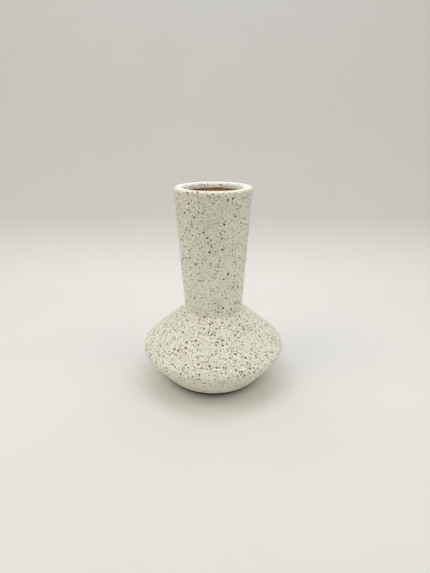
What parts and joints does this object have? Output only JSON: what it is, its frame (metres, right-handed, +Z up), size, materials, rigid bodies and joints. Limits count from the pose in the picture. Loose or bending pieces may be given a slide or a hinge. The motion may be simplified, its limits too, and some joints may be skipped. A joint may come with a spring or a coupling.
{
  "type": "ceramic bud vase",
  "caption": "Free-standing bud vase: saucer-shaped body under a tall neck that widens to a thick rounded lip, in tan-brown clay with a matte speckled coat.",
  "frame": {"origin": "centre of the circle that the foot ring rests on, at the lowest point of the vase", "axes": "+Z up along the vase's axis of revolution; X and Y are level and alike, because the vase is round"},
  "size_m": [0.1182, 0.1182, 0.16],
  "materials": {
    "clay": "bare fired tan-brown clay, matte and slightly gritty",
    "slip": "fired slip, matte",
    "sealed_clay": "fired clay sealed dark brown, matte",
    "speckled_coat": "matte off-white with fine dark speckles",
    "inner_glaze": "thin clear glaze over tan-brown clay, satin"
  },
  "bodies": {
    "root": {"neck": "clay", "neck_seam": "slip", "shoulder": "clay", "waist_seam": "slip", "bowl": "clay", "floor": "clay", "foot_ring": "sealed_clay", "speckled_coat": "speckled_coat", "inner_glaze": "inner_glaze"}
  },
  "joints": []
}
